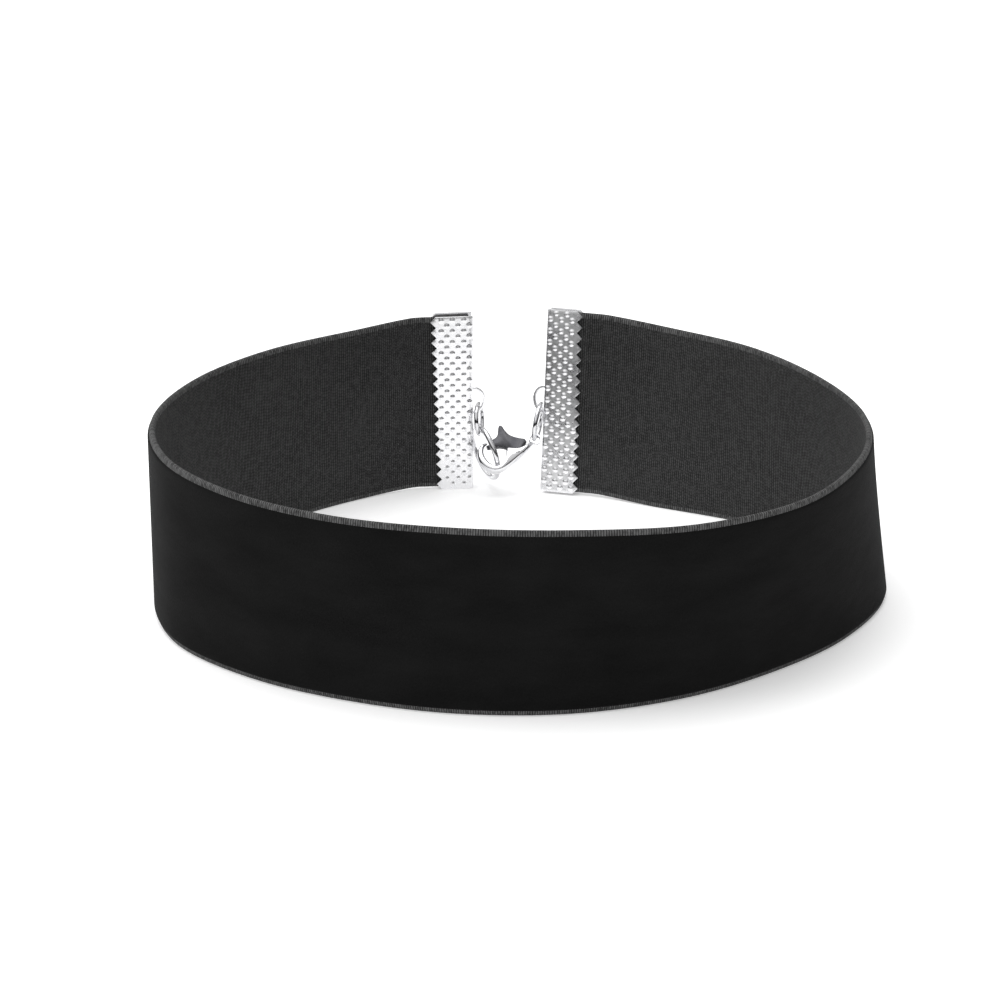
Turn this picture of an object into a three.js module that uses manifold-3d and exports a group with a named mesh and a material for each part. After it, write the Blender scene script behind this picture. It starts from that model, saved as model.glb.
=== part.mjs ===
// A velvet ribbon choker stood on the ribbon's lower edge as a closed loop: one wide velvet
// ribbon, a folded metal crimp on each of its ends, three jump rings and a lobster clasp
// whose sprung lever opens inwards. Millimetres, +Z up, the clasp at the back (+Y), and the
// origin under the middle of the whole choker, on the surface that it stands on.
import * as THREE from "three";
import { mergeVertices } from "three/addons/utils/BufferGeometryUtils.js";
import Module from "manifold-3d";

const wasm = await Module();
wasm.setup();

const DEGREE = Math.PI / 180;
const UP = new THREE.Vector3(0, 0, 1);

// ---- driving dimensions, millimetres and degrees ----

// The ribbon. facet is the length of one straight facet along the loop.
const RIBBON = { width: 30, thickness: 1.2, facet: 3 };

// The loop's inner face, a row for each bearing about the middle of the neck hollow
// (0 is +X, 90 the back). reach is the distance of the lower edge, and lean how much
// further out the upper edge stands.
const STATIONS = [
  { bearing: 120, reach: 51.0, lean: -1.5 },
  { bearing: 140, reach: 50.6, lean: 0.0 },
  { bearing: 160, reach: 52.1, lean: 0.8 },
  { bearing: 180, reach: 54.8, lean: 0.3 },
  { bearing: 200, reach: 54.7, lean: 0.5 },
  { bearing: 220, reach: 51.5, lean: 1.8 },
  { bearing: 240, reach: 49.0, lean: 2.3 },
  { bearing: 260, reach: 48.4, lean: 1.8 },
  { bearing: 280, reach: 48.6, lean: 2.7 },
  { bearing: 300, reach: 48.9, lean: 5.5 },
  { bearing: 320, reach: 50.0, lean: 6.2 },
  { bearing: 340, reach: 53.5, lean: 2.1 },
  { bearing: 360, reach: 57.3, lean: -3.5 },
  { bearing: 380, reach: 55.7, lean: -4.2 },
  { bearing: 400, reach: 49.6, lean: 0.5 },
  { bearing: 420, reach: 46.3, lean: 4.3 },
];

// A crimp is a strip folded round the ribbon's end. Its two plates have toothed edges.
const CRIMP = {
  height: 30.4,
  sheet: 0.45,
  gap: 1.5,
  bend: 0.7,
  teeth: 17,
  toothDepth: 0.8,
  floorGap: 0.05,
};
// A half-round tab stands out of the middle of each crimp's fold, with a half-round hole
// for a jump ring.
const TAB = { reach: 1.95, halfHeight: 2.35, sheet: 0.5, root: 0.3, rim: 0.5, holeIn: 0.1 };
// Where each crimp's fold stands, and how it is turned: yaw swings its ribbon side
// forwards, and lean tips its top outwards. It was closed unevenly, so its plates are
// not equally deep at the top and the bottom. tabBend turns the tab outwards.
const LEFT_CRIMP = {
  side: -1, x: -6.3, y: 50.2, yaw: 6, lean: -2.8, top: 7.2, bottom: 6.2, tabBend: 0,
};
const RIGHT_CRIMP = {
  side: 1, x: 5.3, y: 50.8, yaw: 17, lean: 9, top: 6.1, bottom: 6.6, tabBend: 5,
};
// How far into and out of a crimp the ribbon lies flat, from the fold.
const FLAT_RUN = [1.2, 6.6, 9.5];

// Jump rings: outer radius of the wire's centre line, wire radius, where the centre is
// and the direction that the ring's plane faces.
const RINGS = {
  jump_ring_left: { radius: 2.5, wire: 0.4, centre: [-5.43, 50.51, 11.87], faces: [0.982, -0.171, 0.081] },
  jump_ring_middle: { radius: 4.6, wire: 0.45, centre: [-4.52, 50.69, 6.16], faces: [0.888, 0.412, 0.204] },
  jump_ring_right: { radius: 3.0, wire: 0.4, centre: [4.3, 50.92, 11.21], faces: [0.97, -0.204, -0.13] },
};
const RING_STEPS = { round: 36, wire: 10 };

// The clasp lies in its own plane: along runs from its eyelet to its hook, and across
// points to the side that the lever opens.
const CLASP = {
  eyelet: [3.2, 50.4, 9.2],
  along: [-0.907, -0.332, -0.26],
  across: [-0.42, 0.645, 0.64],
  thickness: 2.2,
  edge: 0.16,
};
const EYELET = { along: -0.1, across: -1.1, outer: 1.06, hole: 0.74, thickness: 0.8 };
const PIVOT = { along: 3.75, across: -2.3, radius: 0.3, leverHole: 0.36, bodyHole: 0.35 };
const LEVER = { thickness: 1.16, slot: 1.4 };

// ---- outlines in the clasp's plane, as [along, across] ----

// Top of the cheeks, from the neck to their front corner.
const CHEEK_TOP = [
  [0.7, -1.0], [1.5, -1.42], [2.6, -1.65], [3.5, -1.5], [4.3, -0.95], [4.9, -0.3],
];
// Inside of the hook, from the cheeks round to the underside of its tip.
const HOOK_INSIDE = [
  [4.9, -0.3], [5.2, -1.0], [5.6, -1.9], [6.3, -2.8], [7.2, -3.28], [8.05, -3.15],
  [8.65, -2.3], [8.9, -1.0], [8.67, 0.1], [8.35, 0.85],
];
const HOOK_TIP = [[8.1, 1.05], [7.5, 1.08], [7.45, 1.45]];
// Outside of the hook, from its tip round the end and back to the neck.
const HOOK_OUTSIDE = [
  [7.45, 1.45], [8.0, 1.65], [8.9, 1.3], [9.7, 0.55], [10.15, -0.4], [10.2, -1.5],
  [9.85, -2.7], [9.0, -3.85], [7.6, -4.3], [6.0, -4.0], [4.7, -3.6], [3.4, -3.2],
  [2.0, -2.6], [0.6, -2.0],
];
// The lever, from its tip over the thumb nub to its tail, and round the pivot.
const LEVER_TIP = [[7.82, 0.45], [7.85, 0.88], [7.12, 0.93]];
const LEVER_TOP = [
  [7.05, 1.4], [6.5, 1.55], [5.75, 1.7], [5.2, 2.15], [4.7, 3.05], [4.3, 3.45], [3.95, 3.15],
  [3.85, 2.3], [3.55, 1.3], [2.9, 0.55], [2.2, 0.0], [1.5, -0.45],
];
const LEVER_UNDER = [
  [1.42, -1.05], [2.0, -1.5], [2.75, -1.82], [3.2, -2.1], [3.3, -2.5], [3.75, -2.75],
  [4.15, -2.63], [4.32, -2.25], [4.55, -1.45], [5.0, -0.72], [5.8, -0.12], [6.9, 0.22],
];
// The slot that the lever swings in, open to the top and to the hook.
const SLOT = [
  [1.25, 0.6], [1.25, -1.25], [1.9, -1.7], [2.7, -2.05], [3.05, -2.3], [3.2, -2.68],
  [3.75, -2.92], [4.25, -2.8], [4.6, -2.4], [5.0, -2.1], [6.2, -1.95], [6.2, 0.6],
];

// ---- materials ----

const velvet = new THREE.MeshStandardMaterial({ color: 0x0c0c0d, roughness: 0.95 });
const plate = new THREE.MeshStandardMaterial({ color: 0xd9d9dc, roughness: 0.18, metalness: 1 });

// ---- helpers ----

function vector(xyz) {
  return new THREE.Vector3(...xyz);
}

function solid(geometry) {
  const bare = new THREE.BufferGeometry();
  bare.setAttribute("position", geometry.getAttribute("position"));
  bare.setIndex(geometry.getIndex());
  const merged = mergeVertices(bare, 1e-4);
  const mesh = new wasm.Mesh({
    numProp: 3,
    vertProperties: merged.attributes.position.array,
    triVerts: new Uint32Array(merged.index.array),
  });
  return new wasm.Manifold(mesh);
}

function geometryOf(manifold) {
  const mesh = manifold.getMesh();
  const geometry = new THREE.BufferGeometry();
  geometry.setAttribute("position", new THREE.BufferAttribute(mesh.vertProperties, 3));
  geometry.setIndex(new THREE.BufferAttribute(mesh.triVerts, 1));
  return geometry;
}

function named(name, geometry, material) {
  const mesh = new THREE.Mesh(geometry, material);
  mesh.name = name;
  return mesh;
}

// A plate of a flat outline, centred on the plane of the outline.
function slab(points, thickness, edge = 0, hole = null) {
  const shape = new THREE.Shape(points.map(([x, y]) => new THREE.Vector2(x, y)));
  if (hole) shape.holes.push(new THREE.Path().absarc(hole.x, hole.y, hole.radius, 0, 2 * Math.PI));
  const geometry = new THREE.ExtrudeGeometry(shape, {
    depth: thickness - 2 * edge,
    bevelEnabled: edge > 0,
    bevelThickness: edge,
    bevelSize: edge,
    bevelOffset: -edge,
    bevelSegments: 2,
    curveSegments: 16,
  });
  return geometry.translate(0, 0, edge - thickness / 2);
}

// A short round bar along the local Z axis.
function bar(x, y, radius, length) {
  const geometry = new THREE.CylinderGeometry(radius, radius, length, 24);
  return geometry.rotateX(Math.PI / 2).translate(x, y, 0);
}

// A smooth run through a few points, as [x, y] pairs.
function smooth(points, steps) {
  const curve = new THREE.SplineCurve(points.map(([x, y]) => new THREE.Vector2(x, y)));
  return curve.getPoints(steps).map((point) => [point.x, point.y]);
}

// ---- crimps ----

// A crimp's own frame: u runs from the fold to the ribbon, v up the plates, and out is
// the level direction away from the neck.
function crimpFrame({ side, x, y, yaw, lean }) {
  const u = new THREE.Vector3(side * Math.cos(yaw * DEGREE), -Math.sin(yaw * DEGREE), 0);
  const out = new THREE.Vector3(side * Math.sin(yaw * DEGREE), Math.cos(yaw * DEGREE), 0);
  const v = UP.clone().multiplyScalar(Math.cos(lean * DEGREE));
  v.addScaledVector(out, Math.sin(lean * DEGREE));
  const halfThickness = CRIMP.gap / 2 + CRIMP.sheet;
  const reachDown = (CRIMP.height / 2) * Math.cos(lean * DEGREE);
  const cornerDown = halfThickness * Math.abs(Math.sin(lean * DEGREE));
  const origin = new THREE.Vector3(x, y, CRIMP.floorGap + reachDown + cornerDown);
  return { u, v, out, origin, normal: u.clone().cross(v) };
}

function crimpPoint(frame, along, up) {
  return frame.origin.clone().addScaledVector(frame.u, along).addScaledVector(frame.v, up);
}

// The folded strip seen from above: a U, open towards the ribbon.
function foldProfile(depth) {
  const outer = CRIMP.gap / 2 + CRIMP.sheet;
  const inner = CRIMP.gap / 2;
  const bendIn = CRIMP.bend - CRIMP.sheet;
  const shape = new THREE.Shape();
  shape.moveTo(depth, -outer);
  shape.lineTo(depth, -inner);
  shape.lineTo(CRIMP.sheet + bendIn, -inner);
  shape.absarc(CRIMP.bend, bendIn - inner, bendIn, 1.5 * Math.PI, Math.PI, true);
  shape.lineTo(CRIMP.sheet, inner - bendIn);
  shape.absarc(CRIMP.bend, inner - bendIn, bendIn, Math.PI, 0.5 * Math.PI, true);
  shape.lineTo(depth, inner);
  shape.lineTo(depth, outer);
  shape.lineTo(CRIMP.bend, outer);
  shape.absarc(CRIMP.bend, outer - CRIMP.bend, CRIMP.bend, 0.5 * Math.PI, Math.PI, false);
  shape.lineTo(0, CRIMP.bend - outer);
  shape.absarc(CRIMP.bend, CRIMP.bend - outer, CRIMP.bend, Math.PI, 1.5 * Math.PI, false);
  return shape;
}

// The plate's outline from the front, with its row of teeth on the ribbon side.
function toothedOutline({ top, bottom }) {
  const half = CRIMP.height / 2;
  const pitch = CRIMP.height / CRIMP.teeth;
  const points = [[-1, -half], [-1, half]];
  for (let i = CRIMP.teeth; i >= 0; i -= 1) {
    const up = -half + i * pitch;
    const share = i / CRIMP.teeth;
    const edge = bottom + (top - bottom) * share;
    points.push([edge - CRIMP.toothDepth, up]);
    if (i > 0) points.push([edge, up - pitch / 2]);
  }
  return points.reverse();
}

function halfRound(reach, halfHeight) {
  const points = [];
  const steps = 16;
  for (let i = 0; i <= steps; i += 1) {
    const turn = (i / steps - 0.5) * Math.PI;
    points.push([-reach * Math.cos(turn), halfHeight * Math.sin(turn)]);
  }
  return points.reverse();
}

function tab() {
  const { reach, halfHeight, rim, holeIn, sheet, root } = TAB;
  const outline = [...halfRound(reach, halfHeight), [root, -halfHeight], [root, halfHeight]];
  const hole = halfRound(reach - rim - holeIn, halfHeight - rim);
  const cut = solid(slab(hole, 2 * sheet)).translate([-holeIn, 0, 0]);
  return solid(slab(outline, sheet)).subtract(cut);
}

function crimp(name, place) {
  const frame = crimpFrame(place);
  const deepest = Math.max(place.top, place.bottom) + 1;
  const channel = new THREE.ExtrudeGeometry(foldProfile(deepest), {
    depth: CRIMP.height,
    bevelEnabled: false,
    curveSegments: 4,
  });
  channel.translate(0, 0, -CRIMP.height / 2).rotateX(-Math.PI / 2);
  const teeth = slab(toothedOutline(place), 2 * deepest);
  const bent = tab().rotate([0, -place.side * place.tabBend, 0]);
  const body = solid(channel).intersect(solid(teeth)).add(bent);
  const mesh = named(name, geometryOf(body), plate);
  const turn = new THREE.Matrix4().makeBasis(frame.u, frame.v, frame.normal);
  mesh.quaternion.setFromRotationMatrix(turn);
  mesh.position.copy(frame.origin);
  return mesh;
}

// ---- ribbon ----

// Lower and upper edge of the ribbon's inner face where a crimp holds it flat.
function heldStation(frame, along) {
  const inward = -RIBBON.thickness / 2;
  const edge = (up) => crimpPoint(frame, along, up).addScaledVector(frame.out, inward);
  return { lower: edge(-RIBBON.width / 2), upper: edge(RIBBON.width / 2) };
}

// The same where it stands free.
function freeStation({ bearing, reach, lean }) {
  const out = new THREE.Vector3(Math.cos(bearing * DEGREE), Math.sin(bearing * DEGREE), 0);
  const height = Math.sqrt(RIBBON.width ** 2 - lean ** 2);
  const lower = out.clone().multiplyScalar(reach);
  const upper = out.clone().multiplyScalar(reach + lean);
  return { lower, upper: upper.setZ(height) };
}

function ribbonStations() {
  const left = crimpFrame(LEFT_CRIMP);
  const right = crimpFrame(RIGHT_CRIMP);
  const start = FLAT_RUN.map((along) => heldStation(left, along));
  const end = FLAT_RUN.map((along) => heldStation(right, along)).reverse();
  return [...start, ...STATIONS.map(freeStation), ...end];
}

// Sections along the loop, each with its lower and upper inner points and the level
// direction across the ribbon's thickness.
function ribbonSections() {
  const stations = ribbonStations();
  const lower = new THREE.CatmullRomCurve3(stations.map((station) => station.lower));
  const upper = new THREE.CatmullRomCurve3(stations.map((station) => station.upper));
  const spans = stations.length - 1;
  const sections = [];
  for (let span = 0; span < spans; span += 1) {
    const chord = stations[span].lower.distanceTo(stations[span + 1].lower);
    const facets = Math.max(1, Math.round(chord / RIBBON.facet));
    const last = span === spans - 1 ? facets : facets - 1;
    for (let step = 0; step <= last; step += 1) {
      const t = (span + step / facets) / spans;
      const forward = lower.getTangent(t).add(upper.getTangent(t)).setZ(0).normalize();
      const across = forward.clone().cross(UP);
      sections.push({ lower: lower.getPoint(t), upper: upper.getPoint(t), across });
    }
  }
  return sections;
}

function ribbon() {
  const corners = [];
  for (const { lower, upper, across } of ribbonSections()) {
    const thick = across.clone().multiplyScalar(RIBBON.thickness);
    corners.push(lower, lower.clone().add(thick), upper.clone().add(thick), upper);
  }
  corners.forEach((corner) => corner.setZ(Math.max(corner.z, 0)));
  const count = corners.length / 4;
  const index = [0, 1, 2, 0, 2, 3];
  for (let i = 0; i < count - 1; i += 1) {
    for (let side = 0; side < 4; side += 1) {
      const a = i * 4 + side;
      const b = i * 4 + ((side + 1) % 4);
      index.push(a, a + 4, b + 4, a, b + 4, b);
    }
  }
  const end = (count - 1) * 4;
  index.push(end, end + 2, end + 1, end, end + 3, end + 2);
  const geometry = new THREE.BufferGeometry().setFromPoints(corners);
  geometry.setIndex(index);
  return named("ribbon", geometry, velvet);
}

// ---- jump rings ----

function jumpRing(name, { radius, wire, centre, faces }) {
  const geometry = new THREE.TorusGeometry(radius, wire, RING_STEPS.wire, RING_STEPS.round);
  const mesh = named(name, geometry, plate);
  mesh.quaternion.setFromUnitVectors(UP, vector(faces).normalize());
  mesh.position.copy(vector(centre));
  return mesh;
}

// ---- lobster clasp ----

function claspBody() {
  const outline = [
    ...smooth(CHEEK_TOP, 10).slice(0, -1),
    ...smooth(HOOK_INSIDE, 22),
    ...HOOK_TIP.slice(0, -1),
    ...smooth(HOOK_OUTSIDE, 30),
  ];
  const claw = solid(slab(outline.reverse(), CLASP.thickness, CLASP.edge));
  const disc = solid(bar(EYELET.along, EYELET.across, EYELET.outer, EYELET.thickness));
  const eye = solid(bar(EYELET.along, EYELET.across, EYELET.hole, 2 * CLASP.thickness));
  const slot = solid(slab([...SLOT], LEVER.slot));
  const pin = solid(bar(PIVOT.along, PIVOT.across, PIVOT.bodyHole, 2 * CLASP.thickness));
  const body = claw.add(disc).subtract(eye).subtract(slot).subtract(pin);
  return named("clasp_body", geometryOf(body), plate);
}

function claspLever() {
  const outline = [...LEVER_TIP, ...smooth(LEVER_TOP, 26), ...smooth(LEVER_UNDER, 22)];
  const blade = solid(slab(outline, LEVER.thickness));
  const pin = solid(bar(PIVOT.along, PIVOT.across, PIVOT.leverHole, 2 * CLASP.thickness));
  return named("clasp_lever", geometryOf(blade.subtract(pin)), plate);
}

function claspPivot() {
  const geometry = bar(PIVOT.along, PIVOT.across, PIVOT.radius, CLASP.thickness);
  return named("clasp_pivot", geometry, plate);
}

function clasp() {
  const along = vector(CLASP.along).normalize();
  const facing = along.clone().cross(vector(CLASP.across)).normalize();
  const across = facing.clone().cross(along);
  const group = new THREE.Group();
  const turn = new THREE.Matrix4().makeBasis(along, across, facing);
  group.quaternion.setFromRotationMatrix(turn);
  group.position.copy(vector(CLASP.eyelet));
  group.add(claspBody(), claspPivot(), claspLever());
  return group;
}

// ---- the choker ----

const choker = new THREE.Group();
choker.add(ribbon());
choker.add(crimp("crimp_left", LEFT_CRIMP));
choker.add(crimp("crimp_right", RIGHT_CRIMP));
for (const [name, ring] of Object.entries(RINGS)) choker.add(jumpRing(name, ring));
choker.add(clasp());

// The origin goes under the middle of the choker's box.
const box = new THREE.Box3().setFromObject(choker, true);
const middle = box.getCenter(new THREE.Vector3());
choker.position.set(-middle.x, -middle.y, -box.min.z);

export default choker;
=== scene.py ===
import math

import bmesh
import bpy
import numpy as np
from mathutils import Matrix, Vector


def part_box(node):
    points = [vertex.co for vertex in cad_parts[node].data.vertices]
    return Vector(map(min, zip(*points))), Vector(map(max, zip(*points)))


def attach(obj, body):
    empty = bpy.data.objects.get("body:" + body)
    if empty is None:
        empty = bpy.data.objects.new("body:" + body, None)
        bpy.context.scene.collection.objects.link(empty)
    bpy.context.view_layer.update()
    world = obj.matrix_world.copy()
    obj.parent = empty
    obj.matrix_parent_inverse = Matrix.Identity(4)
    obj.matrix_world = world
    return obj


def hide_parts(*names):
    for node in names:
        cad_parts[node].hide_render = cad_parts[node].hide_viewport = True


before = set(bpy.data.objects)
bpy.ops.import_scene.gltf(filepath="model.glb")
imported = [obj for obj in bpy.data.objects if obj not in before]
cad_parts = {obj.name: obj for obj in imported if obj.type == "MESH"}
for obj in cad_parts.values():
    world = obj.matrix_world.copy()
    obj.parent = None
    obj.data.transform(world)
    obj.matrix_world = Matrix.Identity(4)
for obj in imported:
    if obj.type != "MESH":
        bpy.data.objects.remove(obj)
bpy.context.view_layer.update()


# ---- ribbon ----
# A wide velvet ribbon woven in one piece: short cut pile outside, a fine ribbed ground cloth
# inside and a bound selvedge along both edges. It is cut to length, bent into a loop that
# stands on its lower edge, and its two ends are gripped by the crimps.
MM = 0.001
RIBBON_WIDTH = 30 * MM
RIBBON_THICKNESS = 1.2 * MM
RIBBON_STEPS = 4
PILE_ROWS = 10
BACK_ROWS = 10
PILE, SELVEDGE, BACK = 0, 1, 2
PILE_DARK, PILE_LIGHT = 0.0035, 0.0085
# The back's and the selvedge's dark and light colours are the two ends of their painted
# light: painted shade in the grooves between threads and painted highlight on the stitch
# crowns, mixed with each stitch's random tone.
BACK_DARK, BACK_LIGHT = 0.0005, 0.058
SELVEDGE_DARK, SELVEDGE_LIGHT = 0.002, 0.13
THREADS_PER_METRE = 2700
BACK_STITCHES_PER_METRE = 1900
SELVEDGE_STITCHES_PER_METRE = 700
THREAD_DEPTH = 0.14 * MM
SELVEDGE_DEPTH = 0.2 * MM
PILE_DEPTH = 0.12 * MM
PILE_LAY_DEPTH = 0.8 * MM
# Half of the ribbon's section, from the pile round the lower edge to the back, in mm:
# out from the back, up from the edge, and the cloth that shows from there on.
EDGE_SECTION = [
    (1.20, 1.70, PILE), (1.19, 1.25, PILE), (1.12, 1.00, PILE), (0.97, 0.86, SELVEDGE),
    (0.88, 0.72, SELVEDGE), (0.86, 0.48, SELVEDGE), (0.80, 0.24, SELVEDGE),
    (0.66, 0.06, SELVEDGE), (0.46, 0.00, SELVEDGE), (0.26, 0.05, SELVEDGE),
    (0.10, 0.20, SELVEDGE), (0.02, 0.45, SELVEDGE), (0.00, 0.80, BACK),
]


def deselect_all():
    if bpy.context.object and bpy.context.object.mode != "OBJECT":
        bpy.ops.object.mode_set(mode="OBJECT")
    bpy.ops.object.select_all(action="DESELECT")


def make_active(piece):
    deselect_all()
    piece.select_set(True)
    bpy.context.view_layer.objects.active = piece


def through(points, steps):
    """Points on a smooth curve through the given ones, steps for each gap."""
    points = [Vector(p) for p in points]
    curve = []
    for i in range(len(points) - 1):
        before = points[max(i - 1, 0)]
        start, end = points[i], points[i + 1]
        after = points[min(i + 2, len(points) - 1)]
        for step in range(steps):
            t = step / steps
            curve.append(0.5 * (
                2 * start + (end - before) * t
                + (2 * before - 5 * start + 4 * end - after) * t ** 2
                + (3 * start - before - 3 * end + after) * t ** 3
            ))
    return curve + [points[-1]]


def edge_corners(corners):
    """Pairs of inner and outer corners along one edge, in order round the loop."""
    pairs = []
    for corner in corners:
        others = [other for other in corners if other is not corner]
        partner = min(others, key=lambda other: (other - corner).length)
        if corner.xy.length < partner.xy.length:
            pairs.append((corner, partner))
    return sorted(pairs, key=lambda p: (math.atan2(p[0].y, p[0].x) - math.pi / 2) % math.tau)


def ribbon_corner_lines():
    places = {tuple(round(c, 6) for c in v.co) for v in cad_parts["ribbon"].data.vertices}
    corners = [Vector(place) for place in sorted(places)]
    lower = edge_corners([c for c in corners if c.z < RIBBON_WIDTH / 2])
    upper = edge_corners([c for c in corners if c.z > RIBBON_WIDTH / 2])
    lines = [[pair[side] for pair in edge] for edge in (lower, upper) for side in (0, 1)]
    return [np.array(through(line, RIBBON_STEPS)) for line in lines]


def ribbon_section():
    """The closed section, as (share of the thickness, share of the width, cloth)."""
    thick, wide = RIBBON_THICKNESS / MM, RIBBON_WIDTH / MM
    rise = np.linspace(EDGE_SECTION[-1][1], wide - EDGE_SECTION[-1][1], BACK_ROWS + 1)[1:-1]
    back = [(0.0, up, BACK) for up in rise]
    # Above, the cloth that shows is the one of the next point down the list.
    above = [EDGE_SECTION[i - 1][2] if i else PILE for i in range(len(EDGE_SECTION))]
    over = [(out, wide - up, above[i]) for i, (out, up, _) in enumerate(EDGE_SECTION)][::-1]
    fall = np.linspace(wide - EDGE_SECTION[0][1], EDGE_SECTION[0][1], PILE_ROWS + 1)[1:-1]
    pile = [(thick, up, PILE) for up in fall]
    points = EDGE_SECTION + back + over + pile
    return [(out / thick, up / wide, cloth) for out, up, cloth in points]


def weave_ribbon():
    inner_low, outer_low, inner_high, outer_high = ribbon_corner_lines()
    section = ribbon_section()
    columns, rows = len(inner_low), len(section)
    steps = np.linalg.norm(np.diff((inner_low + outer_high) / 2, axis=0), axis=1)
    run = np.concatenate([[0.0], np.cumsum(steps)])
    deselect_all()
    bpy.ops.mesh.primitive_grid_add(x_subdivisions=columns - 1, y_subdivisions=rows, size=1)
    ribbon = bpy.context.object
    ribbon.name = "velvet_ribbon"
    mesh = ribbon.data
    for material in (velvet_pile, selvedge_cloth, woven_back):
        mesh.materials.append(material)
    cells = [
        (round((v.co.x + 0.5) * (columns - 1)), round((v.co.y + 0.5) * rows))
        for v in mesh.vertices
    ]
    uv = mesh.uv_layers[0]
    uv.name = "ribbon_run"
    for polygon in mesh.polygons:
        row = min(cells[i][1] for i in polygon.vertices)
        polygon.material_index = section[row][2]
        for loop in polygon.loop_indices:
            column, place = cells[mesh.loops[loop].vertex_index]
            up = section[place % rows][1] * RIBBON_WIDTH
            uv.data[loop].uv = (run[column], up)
    for vertex, (column, place) in zip(mesh.vertices, cells):
        out, up, _ = section[place % rows]
        low = inner_low[column] * (1 - out) + outer_low[column] * out
        high = inner_high[column] * (1 - out) + outer_high[column] * out
        vertex.co = Vector(low * (1 - up) + high * up)
    make_active(ribbon)
    bpy.ops.object.mode_set(mode="EDIT")
    bpy.ops.mesh.select_all(action="SELECT")
    bpy.ops.mesh.remove_doubles(threshold=1e-6)
    bpy.ops.mesh.fill_holes(sides=0)
    bpy.ops.mesh.select_all(action="SELECT")
    bpy.ops.mesh.normals_make_consistent(inside=False)
    bpy.ops.object.mode_set(mode="OBJECT")
    bpy.ops.object.shade_smooth_by_angle(angle=math.radians(50))
    return ribbon


def node_after(tree, kind, **settings):
    node = tree.nodes.new(kind)
    for name, value in settings.items():
        setattr(node, name, value)
    return node


def math_node(tree, operation, first, second=None):
    node = node_after(tree, "ShaderNodeMath", operation=operation)
    for socket, value in zip(node.inputs, (first, second)):
        if value is None:
            continue
        if isinstance(value, (int, float)):
            socket.default_value = value
        else:
            tree.links.new(value, socket)
    return node.outputs[0]


def new_group(name, inputs, outputs):
    """A shader node group, with its two end nodes. Each socket is (name, type, default)."""
    group = bpy.data.node_groups.new(name, "ShaderNodeTree")
    for in_out, sockets in (("INPUT", inputs), ("OUTPUT", outputs)):
        for label, kind, default in sockets:
            socket = group.interface.new_socket(label, in_out=in_out, socket_type=kind)
            if default is not None:
                socket.default_value = default
    return group, group.nodes.new("NodeGroupInput"), group.nodes.new("NodeGroupOutput")


def build_thread_group():
    """Upright threads side by side, each a row of short stitches. The second output is
    painted light: darker in the grooves between threads (painted shade) and lighter on the
    stitch crowns (painted highlight), plus a random tone for each stitch.
    """
    group, given, out = new_group(
        "woven_threads",
        [("Vector", "NodeSocketVector", None),
         ("Across", "NodeSocketFloat", THREADS_PER_METRE),
         ("Along", "NodeSocketFloat", BACK_STITCHES_PER_METRE),
         ("Uneven", "NodeSocketFloat", 0.35)],
        [("Height", "NodeSocketFloat", None), ("Shade", "NodeSocketFloat", None)],
    )
    place = node_after(group, "ShaderNodeSeparateXYZ")
    group.links.new(given.outputs["Vector"], place.inputs[0])
    wander = node_after(group, "ShaderNodeTexNoise")
    wander.inputs["Scale"].default_value = 260
    group.links.new(given.outputs["Vector"], wander.inputs["Vector"])
    across = math_node(group, "MULTIPLY", place.outputs[0], given.outputs["Across"])
    across = math_node(group, "ADD", across, wander.outputs["Fac"])
    thread = math_node(group, "FLOOR", across)
    over = math_node(group, "SINE", math_node(group, "MULTIPLY",
                     math_node(group, "FRACT", across), math.pi))
    own = node_after(group, "ShaderNodeTexWhiteNoise", noise_dimensions="1D")
    group.links.new(thread, own.inputs["W"])
    slip = math_node(group, "MULTIPLY", own.outputs["Value"], 0.8)
    half = math_node(group, "MULTIPLY", math_node(group, "MODULO", thread, 2.0), 0.5)
    along = math_node(group, "MULTIPLY", place.outputs[1], given.outputs["Along"])
    along = math_node(group, "ADD", math_node(group, "ADD", along, half), slip)
    stitch = math_node(group, "SINE", math_node(group, "MULTIPLY",
                       math_node(group, "FRACT", along), math.pi))
    raised = math_node(group, "ADD", math_node(group, "MULTIPLY", stitch, 0.5), 0.5)
    height = math_node(group, "MULTIPLY", over, raised)
    each = node_after(group, "ShaderNodeTexWhiteNoise", noise_dimensions="2D")
    pair = node_after(group, "ShaderNodeCombineXYZ")
    group.links.new(thread, pair.inputs[0])
    group.links.new(math_node(group, "FLOOR", along), pair.inputs[1])
    group.links.new(pair.outputs[0], each.inputs["Vector"])
    uneven = math_node(group, "MULTIPLY", each.outputs["Value"], given.outputs["Uneven"])
    # Painted light: the thread's height darkens the colour in the grooves (painted shade) and
    # lightens it on the stitch crowns (painted highlight); the uneven part is each stitch's
    # own random tone.
    shade = math_node(group, "ADD", height, uneven)
    group.links.new(height, out.inputs["Height"])
    group.links.new(shade, out.inputs["Shade"])
    return group


def new_material(name):
    material = bpy.data.materials.new(name)
    material.use_nodes = True
    return material, material.node_tree, material.node_tree.nodes["Principled BSDF"]


def ramp(tree, value, *stops):
    """A colour ramp on a value. Each stop is (place, grey or colour)."""
    node = node_after(tree, "ShaderNodeValToRGB")
    elements = node.color_ramp.elements
    while len(elements) < len(stops):
        elements.new(0.5)
    for element, (place, colour) in zip(elements, stops):
        element.position = place
        grey = isinstance(colour, (int, float))
        element.color = (colour, colour, colour, 1) if grey else (*colour, 1)
    tree.links.new(value, node.inputs["Fac"])
    return node.outputs["Color"]


def bump(tree, height, shader, strength, distance, under=None):
    node = node_after(tree, "ShaderNodeBump")
    node.inputs["Strength"].default_value = strength
    node.inputs["Distance"].default_value = distance
    tree.links.new(height, node.inputs["Height"])
    if under:
        tree.links.new(under, node.inputs["Normal"])
    if shader:
        tree.links.new(node.outputs["Normal"], shader.inputs["Normal"])
    return node.outputs["Normal"]


def cloth_place(tree):
    return node_after(tree, "ShaderNodeUVMap", uv_map="ribbon_run").outputs["UV"]


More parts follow.
